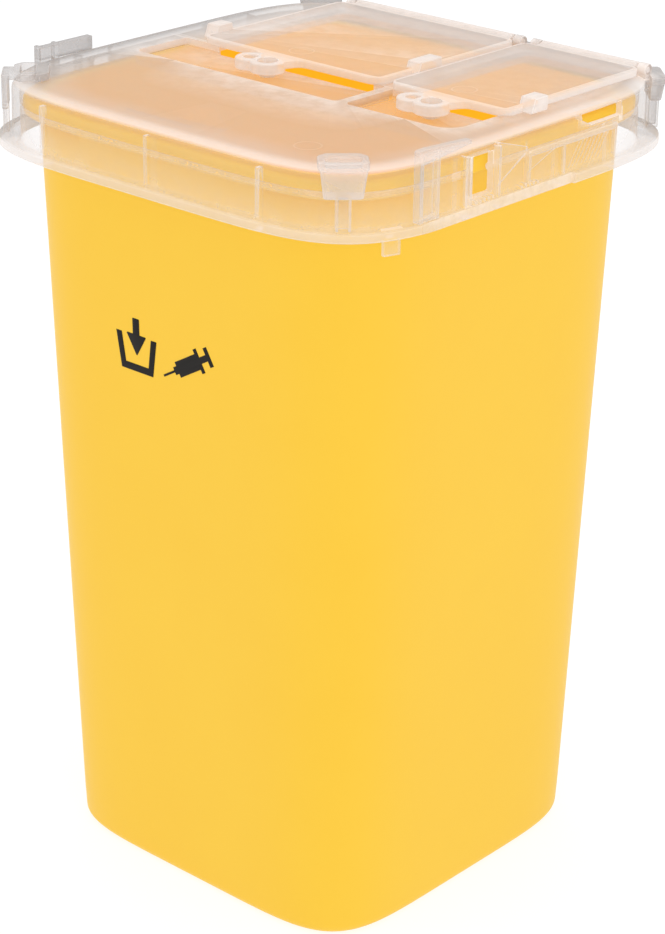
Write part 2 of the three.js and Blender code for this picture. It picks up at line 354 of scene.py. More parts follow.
def squared_rings_tree():
    """Lofts rings that follow |x|^n + |y|^n = half^n. Each point of the incoming profile gives one
    ring: x is the half width, z is the height, and the attribute squareness is n."""
    t = Tree("Squared rings", [("Geometry", "Geometry"), ("Steps Around", "Int"),
                               ("Material", "Material")])
    profile = t.given("Geometry")
    steps = t.given("Steps Around")
    rows = t.node("GeometryNodeAttributeDomainSize", {"Geometry": profile}).outputs["Point Count"]
    grid = t.node("GeometryNodeMeshGrid", {"Size X": 1.0, "Size Y": 1.0,
                                           "Vertices X": t.math("ADD", steps, 1.0),
                                           "Vertices Y": rows})
    index = t.node("GeometryNodeInputIndex").outputs[0]
    column = t.math("FLOOR", t.math("DIVIDE", t.math("ADD", index, 0.5), rows))
    row = t.math("SUBTRACT", index, t.math("MULTIPLY", column, rows))

    def sampled(value, form):
        node = t.node("GeometryNodeSampleIndex", data_type=form, domain="POINT")
        t.feed(node.inputs["Geometry"], profile)
        t.feed(node.inputs["Value"], value)
        t.feed(node.inputs["Index"], row)
        return node.outputs[0]

    place = sampled(t.node("GeometryNodeInputPosition").outputs[0], "FLOAT_VECTOR")
    squareness = t.node("GeometryNodeInputNamedAttribute", {"Name": "squareness"},
                        data_type="FLOAT").outputs["Attribute"]
    power = sampled(squareness, "FLOAT")
    xyz = t.node("ShaderNodeSeparateXYZ", {"Vector": place})
    angle = t.math("MULTIPLY", t.math("DIVIDE", column, steps), 2 * math.pi)
    across, along = t.math("COSINE", angle), t.math("SINE", angle)
    spread = t.math("ADD",
                    t.math("POWER", t.math("ABSOLUTE", across), power),
                    t.math("POWER", t.math("ABSOLUTE", along), power))
    reach = t.math("DIVIDE", xyz.outputs["X"],
                   t.math("POWER", spread, t.math("DIVIDE", 1.0, power)))
    ring = t.node("ShaderNodeCombineXYZ", {"X": t.math("MULTIPLY", reach, across),
                                           "Y": t.math("MULTIPLY", reach, along),
                                           "Z": xyz.outputs["Z"]})
    shaped = t.node("GeometryNodeSetPosition", {"Geometry": grid.outputs["Mesh"],
                                                "Position": ring})
    merged = t.node("GeometryNodeMergeByDistance", {"Geometry": shaped, "Distance": 0.001})
    return close_up(t, merged, t.given("Material"))


def squared_rings(name, profile, material, steps=160):
    """profile: (half width, height, squareness) from the axis round to the axis again."""
    mesh = bpy.data.meshes.new(name)
    mesh.from_pydata([(half, 0, z) for half, z, _ in profile], [], [])
    squareness = mesh.attributes.new("squareness", "FLOAT", "POINT")
    squareness.data.foreach_set("value", [n for _, _, n in profile])
    made = run_tree(RINGS, mesh, name, **{"Steps Around": steps, "Material": material})
    return tidy_mesh(made, 1e-3)


def row_tree():
    """Repeats a small piece along a line, with a turn and an optional seeded change of length."""
    t = Tree("Row of pieces", [("Geometry", "Geometry"), ("Count", "Int"), ("Start", "Vector"),
                               ("Step", "Vector"), ("Turn", "Vector"), ("Uneven", "Float"),
                               ("Seed", "Int"), ("Material", "Material")])
    line = t.node("GeometryNodeMeshLine", {"Count": t.given("Count"),
                                           "Start Location": t.given("Start"),
                                           "Offset": t.given("Step")}, mode="OFFSET")
    low = t.math("SUBTRACT", 1.0, t.given("Uneven"))
    chance = t.node("FunctionNodeRandomValue", data_type="FLOAT")
    t.feed(chance.inputs[2], low)
    t.feed(chance.inputs[3], 1.0)
    t.feed(chance.inputs["Seed"], t.given("Seed"))
    scale = t.node("ShaderNodeCombineXYZ", {"X": 1.0, "Y": 1.0, "Z": chance.outputs[1]})
    turn = t.node("FunctionNodeEulerToRotation", {"Euler": t.given("Turn")})
    spread = t.node("GeometryNodeInstanceOnPoints", {"Points": line.outputs["Mesh"],
                                                     "Instance": t.given("Geometry"),
                                                     "Rotation": turn,
                                                     "Scale": scale})
    return close_up(t, spread, t.given("Material"))


def row_of(piece, name, material, count, start, step, turn=(0, 0, 0), uneven=0.0, seed=1):
    return run_tree(ROWS, piece, name, Count=count, Start=start, Step=step, Turn=turn,
                    Uneven=uneven, Seed=seed, Material=material)


RINGS = squared_rings_tree()
ROWS = row_tree()


# ---- shader nodes ----
def shader_group(name, inputs, outputs):
    return Tree(name, inputs, "ShaderNodeTree", outputs)


def noise(t, where, scale, detail=3.0, rough=0.5):
    return t.node("ShaderNodeTexNoise", {"Vector": where, "Scale": scale, "Detail": detail,
                                         "Roughness": rough}).outputs["Fac"]


def moulded_group():
    """Fine grain, slow clouding and hairline scuffs of moulded plastic."""
    t = shader_group("Moulded surface",
                     [("Grain Size", "Float"), ("Cloud Size", "Float"), ("Scuffing", "Float")],
                     [("Height", "Float"), ("Cloud", "Float"), ("Scuff", "Float")])
    where = t.node("ShaderNodeTexCoord").outputs["Object"]
    grain = noise(t, where, t.math("DIVIDE", 1.0, t.given("Grain Size")), 2.0)
    cloud = noise(t, where, t.math("DIVIDE", 1.0, t.given("Cloud Size")), 4.0, 0.6)
    stretch = t.node("ShaderNodeMapping", {"Vector": where, "Scale": (900.0, 900.0, 60.0),
                                           "Rotation": (0.5, 0.3, 0.2)})
    streak = noise(t, stretch, 1.0, 5.0, 0.7)
    patch = noise(t, where, 35.0, 2.0)
    scuff = t.math("MULTIPLY",
                   t.math("GREATER_THAN", streak, 0.68),
                   t.math("MULTIPLY", t.math("SUBTRACT", patch, 0.45, clamp=True), 4.0,
                          clamp=True), clamp=True)
    scuff = t.math("MULTIPLY", scuff, t.given("Scuffing"))
    t.finish(t.math("SUBTRACT", grain, t.math("MULTIPLY", scuff, 0.6)), "Height")
    t.finish(cloud, "Cloud")
    return t.finish(scuff, "Scuff")


def ejector_group():
    """A faint round pin mark at a place on a flat plate."""
    t = shader_group("Ejector mark",
                     [("Centre", "Vector"), ("Radius", "Float")], [("Mark", "Float")])
    where = t.node("ShaderNodeTexCoord").outputs["Object"]
    flat = t.node("ShaderNodeVectorMath", {0: where, 1: (1.0, 1.0, 0.0)}, operation="MULTIPLY")
    gap = t.node("ShaderNodeVectorMath", {0: flat, 1: t.given("Centre")},
                 operation="DISTANCE").outputs["Value"]
    off = t.math("ABSOLUTE", t.math("SUBTRACT", gap, t.given("Radius")))
    mark = t.math("SUBTRACT", 1.0, t.math("DIVIDE", off, 0.00028), clamp=True)
    facing = t.node("ShaderNodeSeparateXYZ",
                    {"Vector": t.node("ShaderNodeNewGeometry").outputs["Normal"]})
    upper = t.math("GREATER_THAN", facing.outputs["Z"], 0.5)
    return t.finish(t.math("MULTIPLY", mark, upper), "Mark")


def worn_edge_group():
    """Where handling has polished or chalked the outer edges."""
    t = shader_group("Worn edge", [("Amount", "Float")], [("Wear", "Float")])
    edge = t.node("ShaderNodeAttribute", attribute_name="edge").outputs["Fac"]
    where = t.node("ShaderNodeTexCoord").outputs["Object"]
    patchy = noise(t, where, 260.0, 4.0, 0.65)
    worn = t.math("MULTIPLY", edge, t.math("MULTIPLY", patchy, 1.6, clamp=True), clamp=True)
    return t.finish(t.math("MULTIPLY", worn, t.given("Amount")), "Wear")


def ramp(t, value, low, high):
    """0 at low, 1 at high and smooth between."""
    return t.node("ShaderNodeMapRange", {"Value": value, "From Min": low, "From Max": high},
                  interpolation_type="SMOOTHSTEP").outputs["Result"]


def patch_group():
    """A soft-edged squared patch seen from above, above a height. Sizes are in metres."""
    t = shader_group("Soft patch",
                     [("Centre", "Vector"), ("Half Width", "Float"), ("Half Length", "Float"),
                      ("Softness", "Float"), ("Power", "Float"), ("Uneven", "Float"),
                      ("From Height", "Float"), ("Full Height", "Float")],
                     [("Patch", "Float"), ("Level", "Float")])
    where = t.node("ShaderNodeTexCoord").outputs["Object"]
    place = t.node("ShaderNodeSeparateXYZ", {"Vector": where})
    off = t.node("ShaderNodeVectorMath", {0: where, 1: t.given("Centre")}, operation="SUBTRACT")
    away = t.node("ShaderNodeSeparateXYZ", {"Vector": off})
    power = t.given("Power")

    def reach(axis, half):
        share = t.math("DIVIDE", t.math("ABSOLUTE", away.outputs[axis]), t.given(half))
        return t.math("POWER", share, power)

    total = t.math("ADD", reach("X", "Half Width"), reach("Y", "Half Length"))
    distance = t.math("POWER", total, t.math("DIVIDE", 1.0, power))
    cloud = t.math("SUBTRACT", noise(t, where, 70.0, 3.0), 0.5)
    distance = t.math("ADD", distance, t.math("MULTIPLY", cloud, t.given("Uneven")))
    inner = t.math("SUBTRACT", 1.0, t.given("Softness"))
    outside = ramp(t, distance, inner, 1.0)
    level = ramp(t, place.outputs["Z"], t.given("From Height"), t.given("Full Height"))
    t.finish(level, "Level")
    return t.finish(t.math("MULTIPLY", t.math("SUBTRACT", 1.0, outside), level), "Patch")


MOULDED = moulded_group()
PATCH = patch_group()
EJECTOR = ejector_group()
WORN = worn_edge_group()


class Finish:
    """A material being built: nodes are added and linked by short calls."""

    def __init__(self, name):
        self.material = bpy.data.materials.new(name)
        self.material.use_nodes = True
        self.tree = self.material.node_tree
        self.tree.nodes.clear()
        self.out = self.tree.nodes.new("ShaderNodeOutputMaterial")

    node = Tree.node
    feed = Tree.feed
    math = Tree.math

    def group(self, tree, **values):
        node = self.tree.nodes.new("ShaderNodeGroup")
        node.node_tree = tree
        for label, value in values.items():
            self.feed(node.inputs[label.replace("_", " ")], value)
        return node

    def blend(self, share, first, second):
        node = self.tree.nodes.new("ShaderNodeMix")
        node.data_type = "RGBA"
        self.feed(node.inputs["Factor"], share)
        self.feed(node.inputs["A"], first)
        self.feed(node.inputs["B"], second)
        return node.outputs["Result"]

    def bump(self, height, strength, distance):
        return self.node("ShaderNodeBump", {"Height": height, "Strength": strength,
                                            "Distance": distance})

    def surface(self, shader):
        self.feed(self.out.inputs["Surface"], shader)
        return self.material


def rgb(red, green, blue):
    return (red, green, blue, 1.0)


YELLOW = rgb(0.965, 0.605, 0.043)
YELLOW_DEEP = rgb(0.945, 0.565, 0.031)
YELLOW_CHALK = rgb(0.96, 0.66, 0.13)
# painted glow colour for the tub's inner faces
YELLOW_PAINTED_GLOW = rgb(0.88, 0.655, 0.03)
BLACK = rgb(0.0, 0.0, 0.0)
MILK = rgb(0.76, 0.70, 0.675)
MILK_FLAP = rgb(0.56, 0.51, 0.49)
MILK_WARM = rgb(0.78, 0.70, 0.65)
# grey used at grazing angles and as painted shade on the far side
MILK_SHADE_GREY = rgb(0.40, 0.375, 0.37)
# painted glow colour: the tub's light as it shows through the plastic
MILK_PAINTED_GLOW = rgb(0.67, 0.48, 0.33)
MILK_EDGE = rgb(1.0, 0.92, 0.87)
INK = rgb(0.012, 0.010, 0.009)
INK_GREY = rgb(0.02, 0.018, 0.016)


PAINTED_WALL_GLOW = 0.24  # painted glow: yellow emission on the tub's inner faces that stands in for light coming through the thin wall


def tub_yellow():
    f = Finish("tub_yellow")
    base = f.group(MOULDED, Grain_Size=0.00045, Cloud_Size=0.03, Scuffing=0.5)
    wear = f.group(WORN, Amount=0.35).outputs["Wear"]
    tone = f.blend(base.outputs["Cloud"], YELLOW_DEEP, YELLOW)
    tone = f.blend(f.math("ADD", wear, f.math("MULTIPLY", base.outputs["Scuff"], 0.25),
                          clamp=True), tone, YELLOW_CHALK)
    rough = f.math("ADD", 0.36, f.math("MULTIPLY", base.outputs["Cloud"], 0.12))
    rough = f.math("ADD", rough, f.math("MULTIPLY", base.outputs["Scuff"], 0.2))
    place = f.node("ShaderNodeTexCoord").outputs["Object"]
    outward = f.node("ShaderNodeVectorMath", {0: place, 1: (1.0, 1.0, 0.0)},
                     operation="MULTIPLY")
    turned_in = f.node("ShaderNodeVectorMath", {
        0: outward, 1: f.node("ShaderNodeNewGeometry").outputs["Normal"]},
        operation="DOT_PRODUCT").outputs["Value"]
    # painted glow: faces that look inward get a yellow emission that stands in for light through
    # the wall
    inside = f.math("LESS_THAN", turned_in, -0.002)
    skin = f.node("ShaderNodeBsdfPrincipled", {
        "Base Color": tone, "Roughness": rough, "IOR": 1.47, "Specular IOR Level": 0.32,
        "Emission Color": f.blend(inside, BLACK, YELLOW_PAINTED_GLOW), "Emission Strength": PAINTED_WALL_GLOW,
        "Normal": f.bump(base.outputs["Height"], 0.10, 0.00006)})
    return f.surface(skin)


FLAP_BORDER = 0.65
LIGHT_LET_THROUGH = 0.9  # the share of its shadow that milky plastic passes on as soft light


SLANT_LEAST, SLANT_POWER = 0.16, 0.75
CLOUD_LEAST, CLOUD_SWING = 0.75, 0.5
PATH_FADE = -0.5
EDGE_WEAR = 0.8
# the far-side values here set painted shade: more opacity, more grey and less whitening on the far
# side
WHITER_HIDES, FAR_SHADE_HIDES = 0.34, 0.18
WEAR_HIDES, SCUFF_HIDES, PIN_HIDES = 0.32, 0.10, 0.16
MOST_HIDDEN = 0.97
GRAZING_POWER, GRAZING_GREY, FAR_SHADE_GREY = 3.0, 0.75, 0.8
THICK_FROM, THICK_FULL, THICK_WHITE, FAR_SHADE_DULLS = 2.0, 5.0, 0.85, 0.8
BORDER_WHITE = 0.9
EVERYWHERE = (1000.0, 1000.0)
ANY_HEIGHT = (-2.0, -1.0)


def soft_patch(f, centre, half, softness, power, uneven, heights):
    """A soft patch in a material, with its place and size in millimetres."""
    return f.group(PATCH, Centre=(centre[0] * MM, centre[1] * MM, 0.0), Half_Width=half[0] * MM,
                   Half_Length=half[1] * MM, Softness=softness, Power=power, Uneven=uneven,
                   From_Height=heights[0] * MM, Full_Height=heights[1] * MM)


def border_and_eye(f, left, right, eye):
    """Where a flap is thicker and looks whiter: its border, its eye and its lugs."""
    middle = ((left + right) / 2, (FLAP_FRONT + FLAP_SHOULDER) / 2)
    half = ((right - left) / 2 - FLAP_BORDER, (FLAP_SHOULDER - FLAP_FRONT) / 2 - FLAP_BORDER)
    inside = soft_patch(f, middle, half, 0.02, 40.0, 0.0, ANY_HEIGHT).outputs["Patch"]
    border = f.math("SUBTRACT", 1.0, inside)
    cup = soft_patch(f, (eye - 2.0, EYE_Y), (8.5, 4.4), 0.15, 4.0, 0.0, ANY_HEIGHT)
    lug_top = soft_patch(f, (0.0, 0.0), EVERYWHERE, 0.1, 2.0, 0.0,
                         (FLAP_TOP - 0.1, FLAP_TOP + 0.25))
    raised = f.math("ADD", cup.outputs["Patch"], lug_top.outputs["Level"], clamp=True)
    return f.math("MAXIMUM", raised, f.math("MULTIPLY", border, BORDER_WHITE))


def hidden_by_path(f, cloud, depth, facing, density):
    """How much a path through the plastic hides: a slanting path is longer."""
    slant = f.math("MAXIMUM", f.math("SUBTRACT", 1.0, facing), SLANT_LEAST)
    slant = f.math("POWER", slant, SLANT_POWER)
    cloudy = f.math("ADD", CLOUD_LEAST, f.math("MULTIPLY", cloud, CLOUD_SWING))
    path = f.math("MULTIPLY", f.math("DIVIDE", depth, slant), f.math("MULTIPLY", cloudy, density))
    return f.math("SUBTRACT", 1.0, f.math("EXPONENT", f.math("MULTIPLY", path, PATH_FADE)))


def milky_plastic(name, density, painted_tub_glow, veil, band=0.0, marks=(), painted_tub_glow_share=1.0, flap=None,
                  milk=MILK):
    """See-through polypropylene: a longer path through the plastic looks whiter. density is how
    much each millimetre hides. warm gives the patch of painted glow, where the tub's colour is
    painted into the plastic to stand in for its light coming up from below, as (x, y, half
    width, half length, low z), in millimetres. veil is its extra cloudiness there, band the
    extra at the rim of the deck, and marks are (x, y, radius) of pin marks. flap gives the left
    and right edge and the eye of a flap, whose border and eye are whiter."""
    f = Finish(name)
    base = f.group(MOULDED, Grain_Size=0.0012, Cloud_Size=0.016, Scuffing=0.25)
    cloud = base.outputs["Cloud"]
    wear = f.group(WORN, Amount=EDGE_WEAR).outputs["Wear"]
    x, y, half_x, half_y, low = painted_tub_glow
    patch = soft_patch(f, (x, y), (half_x, half_y), 0.22, 5.0, 0.16, (low, low + 0.7))
    middle = soft_patch(f, (0.0, 0.0), (SKIRT_HALF, SKIRT_HALF), 0.08, SKIRT_SQUARE, 0.02,
                        (low, low + 0.9)).outputs["Patch"]
    upper = soft_patch(f, (0.0, 0.0), EVERYWHERE, 0.1, 2.0, 0.0,
                       (low + 0.8, low + 1.6)).outputs["Level"]
    # painted shade: the far (left and back) side, outside this patch round the near corner, is made
    # greyer, more opaque and less white
    unshaded_near = soft_patch(f, (8.5, -8.5), (55.5, 55.5), 0.06, 12.0, 0.0, ANY_HEIGHT)
    painted_shade_far_side = f.math("SUBTRACT", 1.0, unshaded_near.outputs["Patch"], clamp=True)
    rim = f.math("SUBTRACT", upper, middle, clamp=True)
    hidden = f.math("ADD", f.math("MULTIPLY", middle, veil), f.math("MULTIPLY", rim, veil + band))
    whiter = rim
    if flap:
        whiter = border_and_eye(f, *flap)
        hidden = f.math("ADD", hidden, f.math("MULTIPLY", whiter, WHITER_HIDES))
    hidden = f.math("ADD", hidden, f.math("MULTIPLY", painted_shade_far_side, FAR_SHADE_HIDES))

    depth = f.node("ShaderNodeAttribute", attribute_name="depth").outputs["Fac"]
    facing = f.node("ShaderNodeLayerWeight", {"Blend": 0.5}).outputs["Facing"]
    share = hidden_by_path(f, cloud, depth, facing, density)
    share = f.math("ADD", share, f.math("MULTIPLY", f.math("SUBTRACT", 1.0, share), hidden))
    extra = f.math("ADD", f.math("MULTIPLY", wear, WEAR_HIDES),
                   f.math("MULTIPLY", base.outputs["Scuff"], SCUFF_HIDES))
    height = f.math("MULTIPLY", base.outputs["Height"], 0.3)
    for x, y, radius in marks:
        ring = f.group(EJECTOR, Centre=(x * MM, y * MM, 0.0), Radius=radius * MM).outputs["Mark"]
        extra = f.math("ADD", extra, f.math("MULTIPLY", ring, PIN_HIDES))
        height = f.math("ADD", height, ring)
    share = f.math("MINIMUM", f.math("ADD", share, extra), MOST_HIDDEN)

    tone = f.blend(cloud, milk, f.blend(0.5, milk, MILK_WARM))
    # greyer at grazing angles, and greyer still on the far side as painted shade
    grazing = f.math("MULTIPLY", f.math("POWER", facing, GRAZING_POWER), GRAZING_GREY)
    grey = f.math("ADD", grazing, f.math("MULTIPLY", painted_shade_far_side, FAR_SHADE_GREY), clamp=True)
    tone = f.blend(grey, tone, MILK_SHADE_GREY)
    # painted glow: the tub's warm colour is painted into the plastic where it lies over the tub
    tone = f.blend(f.math("MULTIPLY", patch.outputs["Patch"], painted_tub_glow_share), tone, MILK_PAINTED_GLOW)
    thick = f.math("ADD", ramp(f, depth, THICK_FROM, THICK_FULL), f.math("ADD", wear, whiter),
                   clamp=True)
    dulled = f.math("SUBTRACT", 1.0, f.math("MULTIPLY", painted_shade_far_side, FAR_SHADE_DULLS))
    thick = f.math("MULTIPLY", thick, dulled)
    tone = f.blend(f.math("MULTIPLY", thick, THICK_WHITE), tone, MILK_EDGE)

    rough = f.math("ADD", 0.3, f.math("MULTIPLY", cloud, 0.15))
    shadow = f.node("ShaderNodeLightPath").outputs["Is Shadow Ray"]
    lit = f.math("SUBTRACT", 1.0, f.math("MULTIPLY", shadow, LIGHT_LET_THROUGH))
    return f.surface(f.node("ShaderNodeBsdfPrincipled", {
        "Base Color": tone, "Roughness": rough, "IOR": 1.49, "Specular IOR Level": 0.6,
        "Alpha": f.math("MULTIPLY", share, lit), "Normal": f.bump(height, 0.35, 0.00012)}))


def print_ink():
    f = Finish("print_ink")
    base = f.group(MOULDED, Grain_Size=0.0004, Cloud_Size=0.006, Scuffing=0.6)
    tone = f.blend(base.outputs["Cloud"], INK, INK_GREY)
    rough = f.math("ADD", 0.4, f.math("MULTIPLY", base.outputs["Cloud"], 0.2))
    skin = f.node("ShaderNodeBsdfPrincipled", {
        "Base Color": tone, "Roughness": rough, "Specular IOR Level": 0.12,
        "Normal": f.bump(base.outputs["Height"], 0.2, 0.00004)})
    return f.surface(skin)


TUB_FINISH = tub_yellow()
LID_FINISH = milky_plastic("lid_milky", 0.15, (2.5, -9.0, 47.0, 39.0, 161.9), 0.36, 0.22,
                           [(28.8, -38.2, 2.5)], 0.9)
LARGE_FLAP_FINISH = milky_plastic("large_flap_milky", 0.13, (-9.0, 13.0, 21.0, 15.0, 164.0),
                                  0.10, 0.0, [(-12.0, 4.6, 2.5)], 0.75,
                                  (LARGE_LEFT, LARGE_RIGHT, LARGE_EYE_X), MILK_FLAP)
SMALL_FLAP_FINISH = milky_plastic("small_flap_milky", 0.13, (29.0, 11.0, 12.5, 12.5, 164.0),
                                  0.10, 0.0, [(29.3, 5.0, 2.4)], 0.42,
                                  (SMALL_LEFT, SMALL_RIGHT, SMALL_EYE_X), MILK_FLAP)
FITTING_FINISH = milky_plastic("fitting_milky", 0.24, (0.0, 0.0, 20.0, 20.0, 190.0), 0.0)
# painted shade: a greyer, more opaque copy of the fitting finish for the fittings on the far side
SHADED_FAR_FITTING_FINISH = milky_plastic("shaded_far_fitting_milky", 0.34, (0.0, 0.0, 20.0, 20.0, 190.0),
                                   0.0, milk=MILK_SHADE_GREY)
INK_FINISH = print_ink()


# ---- finishing a piece ----
def mark_edges(mesh):
    """Stores how sharply each corner of the mesh stands out, as the attribute edge."""
    bm = bmesh.new()
    bm.from_mesh(mesh)
    bm.normal_update()
    sharp = []
    for vert in bm.verts:
        turns = [e.calc_face_angle_signed(0.0) for e in vert.link_edges if e.is_manifold]
        outward = max(turns, default=0.0)
        sharp.append(min(max((outward - 0.15) / 0.8, 0.0), 1.0))
    bm.free()
    attribute = mesh.attributes.new("edge", "FLOAT", "POINT")
    attribute.data.foreach_set("value", sharp)


def mark_depth(mesh, most):
    """Stores how much plastic lies behind each face, in millimetres, as the attribute depth."""
    tree = BVHTree.FromPolygons([v.co for v in mesh.vertices],
                                [p.vertices[:] for p in mesh.polygons])
    values = np.zeros(len(mesh.loops), np.float32)
    for face in mesh.polygons:
        inward = -face.normal
        hit = tree.ray_cast(face.center + inward * 0.01, inward, most)
        depth = most if hit[0] is None else min(hit[3] + 0.01, most)
        values[face.loop_start:face.loop_start + face.loop_total] = depth
    attribute = mesh.attributes.new("depth", "FLOAT", "CORNER")
    attribute.data.foreach_set("value", values)


def finish_piece(name, mesh, material, body, nodes, smooth=32.0, most=3.0):
    """Turns a mesh in millimetres into a finished piece that rides on a body."""
    tidy_mesh(mesh)
    mark_edges(mesh)
    mark_depth(mesh, most)
    mesh.materials.clear()
    mesh.materials.append(material)
    mesh.polygons.foreach_set("material_index", [0] * len(mesh.polygons))
    mesh.transform(Matrix.Scale(MM, 4))
    mesh.set_sharp_from_angle(angle=math.radians(smooth))
    mesh.polygons.foreach_set("use_smooth", [True] * len(mesh.polygons))
    mesh.name = name
    obj = object_from(name, mesh)
    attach(obj, body)
    if nodes:
        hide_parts(*nodes)
    return obj


def cad_copy(node):
    """A merged copy of a CAD piece, in millimetres."""
    mesh = frame["nodes"][node].data.copy()
    for name in [a.name for a in mesh.attributes if not a.is_required]:
        mesh.attributes.remove(mesh.attributes[name])
    mesh.transform(Matrix.Scale(1 / MM, 4))
    bm = bmesh.new()
    bm.from_mesh(mesh)
    bmesh.ops.remove_doubles(bm, verts=bm.verts, dist=1e-3)
    bmesh.ops.dissolve_limit(bm, angle_limit=math.radians(1), verts=bm.verts, edges=bm.edges)
    bm.to_mesh(mesh)
    bm.free()
    return mesh


def softened(mesh, width, angle=35.0):
    """The mesh with its sharp edges rounded over."""
    obj = object_from("soften", mesh)
    bevel = obj.modifiers.new("soften", "BEVEL")
    bevel.width = width
    bevel.segments = 2
    bevel.limit_method = "ANGLE"
    bevel.angle_limit = math.radians(angle)
    bevel.use_clamp_overlap = True
    result = evaluated_copy(obj, "softened")
    discard(obj)
    return result


# ---- the tub ----
TUB_BASE = 40.9
TUB_TOP = 45.3
TUB_WALL = 1.5
TUB_ROUND = 2.6
RIM_BOTTOM = 157.4
FOOT_DEPTH = 1.2


def tub_half(z):
    """Half the tub's width at a height."""
    share = z / TUB_HIGH.z
    return TUB_BASE + (TUB_TOP - TUB_BASE) * share


def make_tub():
    n = TUB_SQUARE
    foot = TUB_BASE - 8.0
    profile = [(0.0, FOOT_DEPTH, n), (foot - 6, FOOT_DEPTH, n), (foot - 1.4, FOOT_DEPTH, n)]
    profile += [(foot - 0.4, FOOT_DEPTH - 0.3, n), (foot, 0.3, n), (foot + 0.5, 0.0, n)]
    profile += [(x, z, n) for x, z in arc(tub_half(0) - TUB_ROUND, TUB_ROUND, TUB_ROUND,
                                          -90, 0, 8)]
    for z in (8, 20, 40, 60, 80, 100, 120, 140, 152, RIM_BOTTOM - 0.9):
        profile.append((tub_half(z), z, n))
    rim = TUB_HIGH.x
    top = TUB_HIGH.z
    profile += [(x, z, n + 0.1) for x, z in arc(tub_half(RIM_BOTTOM) + 0.8, RIM_BOTTOM - 0.4, 0.4,
                                                180, 90, 3)]
    profile += [(x, z, n + 0.2) for x, z in arc(rim - 0.5, RIM_BOTTOM + 0.5, 0.5, -90, 0, 3)]
    profile += [(x, z, n + 0.2) for x, z in arc(rim - 1.1, top - 1.1, 1.1, 0, 90, 5)]
    inner = tub_half(top) - TUB_WALL
    profile += [(x, z, n) for x, z in arc(inner + 0.6, top - 0.6, 0.6, 90, 180, 4)]
    for z in (150, 120, 90, 60, 30, 8):
        profile.append((tub_half(z) - TUB_WALL, z, n))
    floor = FOOT_DEPTH + TUB_WALL + 0.4
    profile += [(x, z, n) for x, z in arc(tub_half(floor) - TUB_WALL - 2.4, floor + 2.4, 2.4,
                                          0, -90, 6)]
    profile += [(20.0, floor, n), (0.0, floor, n)]
    return squared_rings("tub", profile, TUB_FINISH, 320)


# ---- the lid ----
RIB_SPACING = 28.0
WINDOW_FRONT, WINDOW_BACK = -17.4, -11.6
LEDGE_FRONT, LEDGE_BACK, LEDGE_TOP = -2.0, 25.0, 160.0
SLOT_FRONT, SLOT_BACK = 15.0, 30.0
SEAL_Z = 158.6
TRAY_WALL = 0.7
TAB_PLACE = (48.7, -38.2)
TRIM_REACH, TRIM_FRONT, TRIM_BACK = 51.4, -33.0, 10.4


def make_lid_shell():
    """Deck, skirt and flange in one thin wall."""
    n, nf = SKIRT_SQUARE, FLANGE_SQUARE
    outer = SKIRT_HALF
    profile = [(0.0, DECK_TOP, n), (30.0, DECK_TOP, n), (outer - EDGE_ROUND - 1.5, DECK_TOP, n)]
    profile += [(x, z, n) for x, z in arc(outer - EDGE_ROUND, DECK_TOP - EDGE_ROUND, EDGE_ROUND,
                                          90, 0, 8)]
    profile += [(outer + 0.05, FLANGE_TOP + 6.0, n), (outer + 0.1, FLANGE_TOP + 3.0, n),
                (outer + 0.15, FLANGE_TOP + 1.0, n)]
    profile += [(x, z, n) for x, z in arc(outer + 0.75, FLANGE_TOP + 0.6, 0.6, 180, 270, 3)]
    edge = 0.45
    profile += [(x, z, nf) for x, z in arc(FLANGE_HALF - edge, FLANGE_TOP - edge, edge, 90, 0, 4)]
    profile += [(x, z, nf) for x, z in arc(FLANGE_HALF - edge, FLANGE_BOTTOM + edge, edge,
                                           0, -90, 4)]
    inner = outer - SKIRT_WALL
    ceiling = DECK_TOP - DECK_THICK
    profile += [(inner + 0.6, FLANGE_BOTTOM, n), (inner, FLANGE_BOTTOM + 0.6, n)]
    profile += [(inner, SEAL_Z - 0.8, n), (inner - 0.45, SEAL_Z - 0.3, n),
                (inner - 0.45, SEAL_Z + 0.3, n), (inner, SEAL_Z + 0.8, n)]
    profile += [(x, z, n) for x, z in arc(inner - 1.0, ceiling - 1.0, 1.0, 0, 90, 4)]
    profile += [(30.0, ceiling, n), (0.0, ceiling, n)]
    return squared_rings("lid", profile, LID_FINISH, 288)


def low_areas(margin, z0, z1, soften):
    """The trays in front of the two flaps and the bay that the hinges lie in."""
    m = margin
    left = rounded(rectangle(-TROUGH_HALF - m, LARGE_RIGHT + m, TROUGH_FRONT - m,
                             FLAP_FRONT + 2 + m), [1.6 + m, 1.2 + m, 0.6, 0.6])
    right = rounded(rectangle(SMALL_LEFT - m, TROUGH_HALF + m, TROUGH_FRONT - m,
                              FLAP_FRONT + 2 + m), [1.2 + m, 4.5 + m, 0.6, 0.6])
    bay = rounded(rectangle(LARGE_LEFT - m, SMALL_RIGHT + m, HINGE_Y - 1.8 - m,
                            HINGE_Y + 1.7 + m), 0.8)
    return [plate([outline], z0, z1, soften) for outline in (left, right, bay)]


def mouth(left, right):
    """The opening under a flap."""
    outline = rounded(rectangle(left + FLAP_LAP, right - FLAP_LAP, FLAP_FRONT + 1.2,
                                HINGE_Y - 4.6), 2.0)
    return plate([outline], DECK_TOP - 6, DECK_TOP + 3, 0.01)


